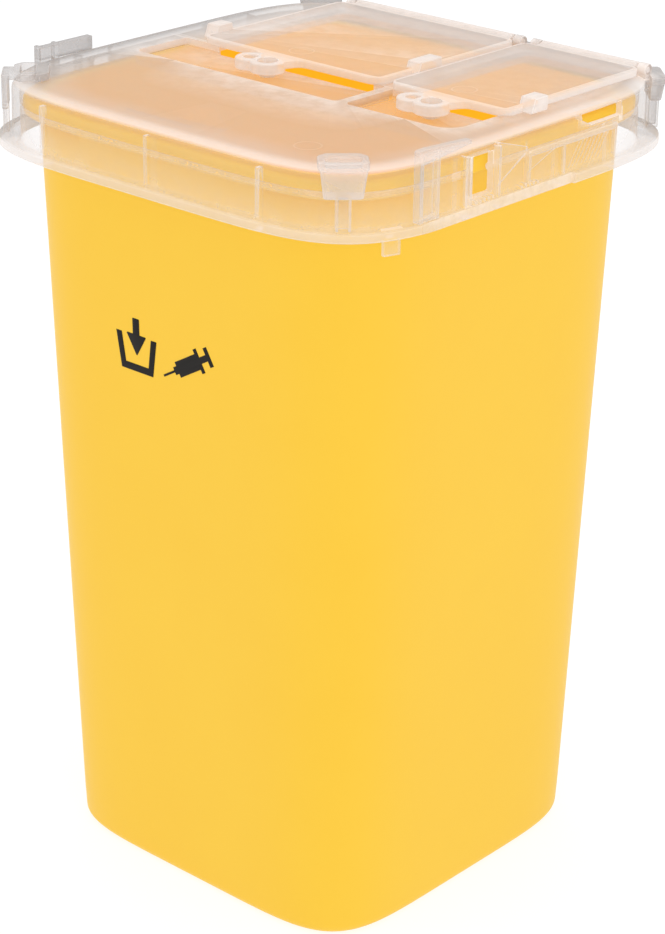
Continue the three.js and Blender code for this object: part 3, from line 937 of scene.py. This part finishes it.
def hinge_ear(x0):
    low = TROUGH_TOP - 0.5
    post = block(x0, x0 + HINGE_EAR, HINGE_Y - 0.95, HINGE_Y + 0.95, low, HINGE_Z, 0.1)
    crown = turned([(0.0, 0.0), (1.05, 0.0), (1.25, 0.2), (1.25, HINGE_EAR - 0.2),
                    (1.05, HINGE_EAR), (0.0, HINGE_EAR)], 28)
    crown.transform(Matrix.Rotation(math.radians(90), 4, "Y"))
    moved(crown, x0, HINGE_Y, HINGE_Z)
    bore = turned([(0.0, -1.0), (1.05, -1.0), (1.05, HINGE_EAR + 1.0), (0.0, HINGE_EAR + 1.0)], 24)
    bore.transform(Matrix.Rotation(math.radians(90), 4, "Y"))
    moved(bore, x0, HINGE_Y, HINGE_Z)
    return cut(join(post, crown), bore)


def skirt_ribs():
    """Three upright ribs on the front of the skirt and three on the back."""
    low, high = FLANGE_TOP - 0.6, DECK_TOP - 1.4
    rib = block(-0.55, 0.55, -0.65, 0.65, 0.0, high - low, 0.3)
    y = SKIRT_HALF + 0.25
    front = row_of(rib.copy(), "front ribs", LID_FINISH, 3, (-RIB_SPACING, -y, low),
                   (RIB_SPACING, 0, 0))
    back = row_of(rib, "back ribs", LID_FINISH, 3, (-RIB_SPACING, y, low), (RIB_SPACING, 0, 0))
    return [front, back]


def side_fittings():
    """Ledge, upright ribs, gussets, teeth and hatch strokes on the right side of the skirt."""
    x0, x1 = SKIRT_HALF - 0.5, SKIRT_HALF + 1.25
    base = FLANGE_TOP - 0.3
    pieces = [block(x0, x1, LEDGE_FRONT, LEDGE_BACK, LEDGE_TOP - 1.3, LEDGE_TOP, 0.3)]
    for y, top in ((-20.4, DECK_TOP - 1.0), (-19.1, DECK_TOP - 1.4), (-10.9, DECK_TOP - 0.9),
                   (LEDGE_FRONT, LEDGE_TOP), (8.4, LEDGE_TOP), (24.4, LEDGE_TOP)):
        pieces.append(block(x0, x1, y - 0.4, y + 0.4, base, top - 0.3, 0.2))
    slope = [(-11.0, 154.6), (-2.0, 159.6), (-2.0, 160.6), (-11.0, 163.3)]
    pieces.append(side_plate(slope, x0, SKIRT_HALF + 0.55))
    corner = [(-1.9, 155.4), (8.2, 159.0), (-1.9, 159.0)]
    pieces.append(side_plate(corner, x0, SKIRT_HALF + 0.45))
    tooth = block(-0.8, 0.8, -0.35, 0.35, 0.0, 1.5, 0.2)
    for y, count, seed in ((-17.6, 5, 3), (-4.4, 5, 5)):
        pieces.append(row_of(tooth.copy(), "flange teeth", LID_FINISH, count,
                             (SKIRT_HALF + 0.6, y, FLANGE_TOP - 0.6), (0, 1.2, 0), uneven=0.4,
                             seed=seed))
    stroke = block(-0.4, 0.4, -0.14, 0.14, 0.0, 5.6, 0.1)
    pieces.append(row_of(stroke, "hatch strokes", LID_FINISH, 8, (SKIRT_HALF, 10.8, base + 0.9),
                         (0, 1.3, 0), turn=(math.radians(-35), 0, 0)))
    return pieces


def side_cuts():
    x0, x1 = SKIRT_HALF - 3, SKIRT_HALF + 4
    window = block(x0, x1, WINDOW_FRONT, WINDOW_BACK, FLANGE_TOP + 1, DECK_TOP - 2.2, 0.4)
    slot = side_plate(rounded([(SLOT_FRONT, LEDGE_TOP + 1.9), (SLOT_FRONT + 3, LEDGE_TOP + 0.5),
                               (SLOT_BACK - 2, LEDGE_TOP + 0.4), (SLOT_BACK - 2, DECK_TOP - 1.0),
                               (SLOT_FRONT, DECK_TOP - 1.0)], 0.3), x0, x1)
    trim = block(TRIM_REACH, x1, TRIM_FRONT, TRIM_BACK, FLANGE_BOTTOM - 1, FLANGE_TOP + 0.3, 0)
    return [window, slot, trim]


def flange_tab():
    """The gate stub left under the flange by the front right corner."""
    tab = block(-0.5, 0.5, -1.7, 1.7, -3.0, 0.4, 0.15)
    tab.transform(Matrix.Rotation(math.radians(-20), 4, "Z"))
    return moved(tab, *TAB_PLACE, FLANGE_BOTTOM)


def deck_underside():
    """Stiffener and gate pads moulded under the deck, seen through it."""
    z0, z1 = DECK_TOP - DECK_THICK - 0.6, DECK_TOP - DECK_THICK + 0.3
    stiffener = block(-15.5, 1.5, -40.3, -39.8, z0, z1, 0.1)
    fan = rounded([(-5.6, -27.0), (9.6, -38.4), (-4.2, -38.6)], 0.8)
    pad = rounded(rectangle(12.0, 24.0, -20.5, -15.5), 0.8)
    return [stiffener, plate([fan], z1 - 0.55, z1, 0.1), plate([pad], z1 - 0.5, z1, 0.1)]


def make_lid():
    lid = make_lid_shell()
    trays = low_areas(TRAY_WALL, TROUGH_TOP - TROUGH_THICK, DECK_TOP - 0.6, 0.3)
    lid = join(lid, *trays)
    lid = cut(lid, *low_areas(0.0, TROUGH_TOP, DECK_TOP + 3, 0.25))
    lid = join(lid, flange_tab(), *deck_underside(), *skirt_ribs())
    fittings = side_fittings()
    lid = join(lid, *fittings, *[mirrored(p, (1, 0, 0)) for p in side_fittings()])
    cuts = side_cuts()
    lid = cut(lid, *cuts, *[mirrored(c, (1, 0, 0)) for c in side_cuts()])
    lid = cut(lid, mouth(LARGE_LEFT, LARGE_RIGHT), mouth(SMALL_LEFT, SMALL_RIGHT))
    ears = [hinge_ear(x) for x in (LARGE_LEFT, LARGE_RIGHT - HINGE_EAR, SMALL_LEFT,
                                   SMALL_RIGHT - HINGE_EAR)]
    return join(lid, *ears)


# ---- the flaps ----
def cup(x, y, radius, bore, height):
    """One half of the figure-eight eye: an open ring with a soft top edge."""
    top, low = FLAP_TOP, FLAP_TOP - height
    soft = 0.4
    profile = [(bore, low), (radius - 0.2, low), (radius, low + 0.2)]
    profile += arc(radius - soft, top - soft, soft, 0, 90, 3)
    profile += arc(bore + 0.3, top - 0.3, 0.3, 90, 180, 3)
    return moved(turned(profile, 36), x, y, 0)


def bore_tool(x, y, bore):
    low, high = FLAP_TOP - EYE_HEIGHT - 1, FLAP_TOP + 1
    return moved(turned([(0.0, low), (bore, low), (bore, high), (0.0, high)], 36), x, y, 0)


def flap_outline(left, right, eye):
    """The plate's outline, with the tongue that carries the eye."""
    tip = EYE_Y + 1.2
    points = [(left, FLAP_FRONT), (eye - 9.0, FLAP_FRONT - 0.2), (eye - 4.4, FLAP_FRONT - 1.6),
              (eye - 2.4, tip), (eye + 3.1, tip), (eye + 4.6, FLAP_FRONT), (right, FLAP_FRONT),
              (right, FLAP_SHOULDER), (left, FLAP_SHOULDER)]
    return rounded(points, [2.6, 4, 2, 0.8, 0.6, 2.2, 3, 2, 2])


def lug(x0, x1, y0, y1, top):
    """A finger lug: a block with a sloping front and a hollow back."""
    body = block(x0, x1, y0, y1, FLAP_BOTTOM + 0.2, top, 0.3)
    bm = bmesh.new()
    bm.from_mesh(body)
    for v in bm.verts:
        if v.co.z > top - 0.7 and v.co.y < y0 + 0.7:
            v.co.y += 0.9
    bm.to_mesh(body)
    bm.free()
    return body


def rod_x(x0, x1, radius, soft=0.15):
    length = x1 - x0
    rod = turned([(0.0, 0.0), (radius - soft, 0.0), (radius, soft), (radius, length - soft),
                  (radius - soft, length), (0.0, length)], 28)
    rod.transform(Matrix.Rotation(math.radians(90), 4, "Y"))
    return moved(rod, x0, HINGE_Y, HINGE_Z)


def flap_plate(left, right, eye):
    body = plate([flap_outline(left, right, eye)], FLAP_BOTTOM, FLAP_TOP, 0.3)
    inset = HINGE_EAR + 0.35
    neck = block(left + inset, right - inset, FLAP_SHOULDER - 2, HINGE_Y, FLAP_BOTTOM,
                 FLAP_TOP - 0.3, 0.1)
    knuckle = rod_x(left + inset, right - inset, 1.2)
    pin = rod_x(left + 0.2, right - 0.2, 0.75)
    body = join(body, neck, knuckle, pin, cup(eye, EYE_Y, EYE_RADIUS, EYE_BORE, EYE_HEIGHT),
                cup(eye - EYE_SPACING, EYE_Y, EYE_RADIUS - 0.3, EYE_BORE - 0.5, EYE_HEIGHT))
    return cut(body, bore_tool(eye, EYE_Y, EYE_BORE),
               bore_tool(eye - EYE_SPACING, EYE_Y, EYE_BORE - 0.5))


def make_large_flap():
    body = flap_plate(LARGE_LEFT, LARGE_RIGHT, LARGE_EYE_X)
    left = lug(LARGE_LOW.x, LARGE_LOW.x + 3.4, 2.5, 7.5, LARGE_HIGH.z)
    right = lug(LARGE_HIGH.x - 3.4, LARGE_HIGH.x, 9.0, 16.5, LARGE_HIGH.z)
    return join(body, left, right)


def make_small_flap():
    body = flap_plate(SMALL_LEFT, SMALL_RIGHT, SMALL_EYE_X)
    return join(body, lug(SMALL_HIGH.x - 3.4, SMALL_HIGH.x, 4.0, 9.0, SMALL_HIGH.z))


# ---- corner clips and side rails ----
CLIP_BACK = 62.4
CLIP_FACE = 65.4
CLIP_REACH = 58.4
CLIP_HALF = 4.5
CLIP_SHIFT = 1.2
CLIP_SEAT = DECK_TOP + 0.3
CUP_BOTTOM = 159.4
PRESSED_IN = 4.0


def at_corner(mesh):
    """Turns a clip made along +X into the front right corner."""
    place = Matrix.Rotation(math.radians(-45), 4, "Z") @ Matrix.Translation((0, -CLIP_SHIFT, 0))
    mesh.transform(place)
    return mesh


def clip_head(inward):
    back, face, half, cut_off = CLIP_REACH - inward, CLIP_FACE - inward, CLIP_HALF, 1.5
    outline = [(back, -half), (face, -half), (face, half), (back, half)]
    corners = []
    for i, (x, y) in enumerate(outline):
        sx = 1 if x < face else -1
        sy = 1 if y < 0 else -1
        pair = [(x, y + sy * cut_off), (x + sx * cut_off, y)]
        corners += pair if i in (0, 2) else pair[::-1]
    slot = rounded(rectangle(back + 2.7, face - 1.4, -3.2, 3.2), [0.8, 1.0, 1.0, 0.8])
    return plate([rounded(corners, 0.7, 3), slot], CLIP_SEAT, CLIP_HIGH.z, 0.35)


def clip_cup():
    """The pocket under the head: it narrows downwards."""
    verts = []
    for z, half, face in ((CUP_BOTTOM, 3.5, CLIP_FACE - 0.7), (162.6, 3.9, CLIP_FACE - 0.25),
                          (CLIP_SEAT + 0.5, 4.2, CLIP_FACE - 0.1)):
        verts += [(CLIP_BACK, -half, z), (face - 0.5, -half, z), (face, -half + 0.6, z),
                  (face, half - 0.6, z), (face - 0.5, half, z), (CLIP_BACK, half, z)]
    faces = [(5, 4, 3, 2, 1, 0), (12, 13, 14, 15, 16, 17)]
    for row in (0, 6):
        faces += [(row + i, row + (i + 1) % 6, row + 6 + (i + 1) % 6, row + 6 + i)
                  for i in range(6)]
    return softened(mesh_from("cup", verts, faces), 0.18)


def clip_stem(face, bottom):
    """Two fins with a thin web between them."""
    low = FLANGE_TOP + 0.32
    half = 1.4
    web = block(CLIP_BACK, CLIP_BACK + 0.5, -half + 0.1, half - 0.1, low, bottom + 0.4, 0.1)
    fins = [block(CLIP_BACK, face, y - 0.27, y + 0.27, low, bottom + 0.4, 0.12)
            for y in (-half + 0.27, half - 0.27)]
    return join(web, *fins)


def front_clip():
    return at_corner(join(clip_head(0.0), clip_cup(), clip_stem(CLIP_FACE - 0.8, CUP_BOTTOM)))


def pressed_clip():
    strap = CLIP_BACK + 1.2
    bridge = block(CLIP_FACE - PRESSED_IN - 0.6, strap, -3.2, 3.2, CLIP_SEAT + 0.05,
                   CLIP_HIGH.z - 0.5, 0.3)
    pocket = block(CLIP_BACK, strap, -3.2, 3.2, CUP_BOTTOM - 0.8, CLIP_SEAT + 0.5, 0.3)
    clip = join(clip_head(PRESSED_IN), bridge, pocket, clip_stem(strap, CUP_BOTTOM - 0.8))
    return mirrored(at_corner(clip), (1, 0, 0))


def back_clip():
    lip = block(CLIP_BACK, CLIP_FACE - 0.2, -CLIP_HALF, CLIP_HALF, CLIP_SEAT - 1.4,
                CLIP_SEAT - 0.05, 0.3)
    clip = at_corner(join(clip_cup_low(), lip, clip_stem(CLIP_FACE - 0.8, CUP_BOTTOM)))
    return mirrored(clip, (0, 1, 0))


def clip_cup_low():
    """The back clip's pocket, which stops level with the deck."""
    top = block(CLIP_BACK - 5, CLIP_FACE + 5, -9, 9, CLIP_SEAT - 0.05, CLIP_SEAT + 5, 0)
    return cut(clip_cup(), top)


def side_rail(node):
    """A hollow upright with a tapering bar that runs back from its top."""
    low, high = box_mm(node)
    x0, x1 = sorted((abs(low.x), abs(high.x)))
    front, back, pillar = low.y, high.y, 5.4
    foot = low.z
    web = block(x0, x0 + 0.7, front + 0.2, front + pillar - 0.2, foot, high.z - 1.0, 0.15)
    walls = [block(x0, x1, y, y + 0.9, foot, high.z - 0.6, 0.2)
             for y in (front, front + pillar - 0.9)]
    band = block(x0, x1 - 0.2, front + 0.3, front + pillar - 0.3, foot, foot + 1.2, 0.2)
    outline = [(front, high.z - 2.9), (back - 5, high.z - 2.0), (back, high.z - 1.5),
               (back, high.z - 0.7), (front + 2, high.z), (front, high.z - 0.1)]
    if low.x < 0:
        outline = rectangle(front, back, high.z - 3.6, high.z - 0.8)
    bar = side_plate(rounded(outline, 0.3, 3), x0, x1 - 0.2, 0.2)
    rail = join(web, *walls, band, bar)
    return rail if low.x > 0 else mirrored(rail, (1, 0, 0))


# ---- the printed sign ----
SIGN_CENTRE = (-1.95, 117.5)
INK_LIFT = 0.06


def tub_surface(x, z):
    """How far the tub's side stands out at a place on it."""
    half = tub_half(z)
    return (half ** TUB_SQUARE - abs(x) ** TUB_SQUARE) ** (1 / TUB_SQUARE)


def printed(loops, x=0.0, z=0.0, turn=0.0):
    """A patch of ink laid on the tub's front. Loops are in millimetres from the sign's centre."""
    mesh = plate(loops, 0.0, INK_LIFT * 2, 0.02)
    mesh.transform(Matrix.Translation((x, z, 0)) @ Matrix.Rotation(math.radians(turn), 4, "Z"))
    for v in mesh.vertices:
        across, up, lift = v.co
        place_x, place_z = SIGN_CENTRE[0] + across, SIGN_CENTRE[1] + up
        v.co = (place_x, -tub_surface(place_x, place_z) + INK_LIFT - lift, place_z)
    return mesh


def syringe_outline():
    steps = [(0.0, 0.22), (3.4, 0.22), (3.4, 0.8), (4.4, 0.8), (4.4, 1.6), (10.6, 1.6),
             (10.6, 2.5), (11.5, 2.5), (11.5, 0.65), (13.4, 0.65), (13.4, 2.0), (14.4, 2.0)]
    return [(s, w) for s, w in steps] + [(s, -w) for s, w in reversed(steps)]


def make_sign():
    """An arrow into an open bin, and a syringe, without any lettering."""
    syringe = printed([syringe_outline()], -0.6, -4.3, 30)
    bin_sides = [(-13.4, 2.0), (-11.9, 2.0), (-11.0, -4.0), (-4.8, -4.0), (-3.9, 2.0),
                 (-2.4, 2.0), (-3.6, -5.5), (-12.2, -5.5)]
    arrow = [(-8.8, 5.5), (-8.8, 2.2), (-10.6, 2.2), (-7.9, -2.2), (-5.2, 2.2), (-7.0, 2.2),
             (-7.0, 5.5)]
    return join(syringe, printed([bin_sides]), printed([rounded(arrow, 0.15, 2)]))


# ---- building everything ----
finish_piece("tub", make_tub(), TUB_FINISH, "bin", ["bin_body"], 40)
finish_piece("sign_print", make_sign(), INK_FINISH, "bin", [])
finish_piece("lid", make_lid(), LID_FINISH, "bin", ["lid_frame"], most=5.0)
finish_piece("flap_large", make_large_flap(), LARGE_FLAP_FINISH, "large_flap",
             ["large_flap"], most=9.0)
finish_piece("flap_small", make_small_flap(), SMALL_FLAP_FINISH, "small_flap",
             ["small_flap"], most=9.0)
CLIPS = {"corner_clip_front_right": front_clip(), "corner_clip_front_left": pressed_clip(),
         "corner_clip_back_right": back_clip(),
         "corner_clip_back_left": mirrored(back_clip(), (1, 0, 0))}
RAILS = {node: side_rail(node) for node in ("side_rail_right", "side_rail_left")}
# the near fittings take the plain finish and the far ones the painted-shade copy
UNSHADED_NEAR_FITTINGS = ("corner_clip_front_right", "side_rail_right")
for fitting, fitting_mesh in {**CLIPS, **RAILS}.items():
    look = FITTING_FINISH if fitting in UNSHADED_NEAR_FITTINGS else SHADED_FAR_FITTING_FINISH
    finish_piece(fitting + "_moulded", fitting_mesh, look, "bin", [fitting],
                 most=2.4)
for peg_name in ("large_flap_latch_peg", "small_flap_latch_peg"):
    finish_piece(peg_name + "_moulded", softened(cad_copy(peg_name), 0.22), FITTING_FINISH,
                 "bin", [peg_name])


# ---- floor, light and camera ----
def floor_finish():
    f = Finish("studio_floor")
    cloud = noise(f, f.node("ShaderNodeTexCoord").outputs["Object"], 3.0)
    tone = f.blend(cloud, rgb(0.26, 0.26, 0.27), rgb(0.28, 0.28, 0.29))
    return f.surface(f.node("ShaderNodeBsdfPrincipled", {
        "Base Color": tone, "Roughness": 0.9, "Specular IOR Level": 0.0,
        "Emission Color": rgb(1.0, 1.0, 1.0), "Emission Strength": 0.8}))


def make_floor():
    floor = object_from("studio_floor", mesh_from("studio_floor", [
        (-4, -4, 0), (4, -4, 0), (4, 4, 0), (-4, 4, 0)], [(0, 1, 2, 3)]))
    floor.data.materials.append(floor_finish())


def softbox(name, place, target, width, height, power):
    light = bpy.data.lights.new(name, "AREA")
    light.shape = "RECTANGLE"
    light.size = width
    light.size_y = height
    light.energy = power
    obj = object_from(name, light)
    obj.location = place
    aim = Vector(target) - Vector(place)
    obj.rotation_euler = aim.to_track_quat("-Z", "Y").to_euler()


def make_lights():
    world = bpy.data.worlds.new("studio")
    world.use_nodes = True
    sky = world.node_tree.nodes["Background"]
    sky.inputs["Color"].default_value = rgb(1.0, 0.995, 0.985)
    sky.inputs["Strength"].default_value = 0.78
    bpy.context.scene.world = world
    middle = (0, 0, 0.09)
    softbox("key_left", (-0.75, -0.75, 0.75), middle, 0.7, 0.9, 1.6)
    softbox("key_right", (0.95, -0.35, 0.55), middle, 0.6, 0.9, 1.6)
    softbox("overhead", (0.0, 0.1, 1.1), middle, 0.9, 0.9, 2.7)


CAMERA_PLACE = (0.33392, -0.37392, 0.29875)
CAMERA_YAW, CAMERA_PITCH, CAMERA_ROLL = 41.617, 23.472, 0.774
CAMERA_LENS = 101.8


def make_camera():
    data = bpy.data.cameras.new("camera")
    data.lens = CAMERA_LENS
    data.sensor_width = 36
    data.clip_start, data.clip_end = 0.01, 20
    obj = object_from("camera", data)
    yaw, pitch = math.radians(CAMERA_YAW), math.radians(CAMERA_PITCH)
    ahead = Vector((-math.sin(yaw) * math.cos(pitch), math.cos(yaw) * math.cos(pitch),
                    -math.sin(pitch)))
    right = Vector((math.cos(yaw), math.sin(yaw), 0))
    over = right.cross(ahead)
    roll = math.radians(CAMERA_ROLL)
    side = right * math.cos(roll) + over * math.sin(roll)
    over = over * math.cos(roll) - right * math.sin(roll)
    turn = Matrix((side, over, -ahead)).transposed().to_4x4()
    obj.matrix_world = Matrix.Translation(CAMERA_PLACE) @ turn
    bpy.context.scene.camera = obj


make_floor()
make_lights()
make_camera()
bpy.context.scene.view_settings.view_transform = "Standard"
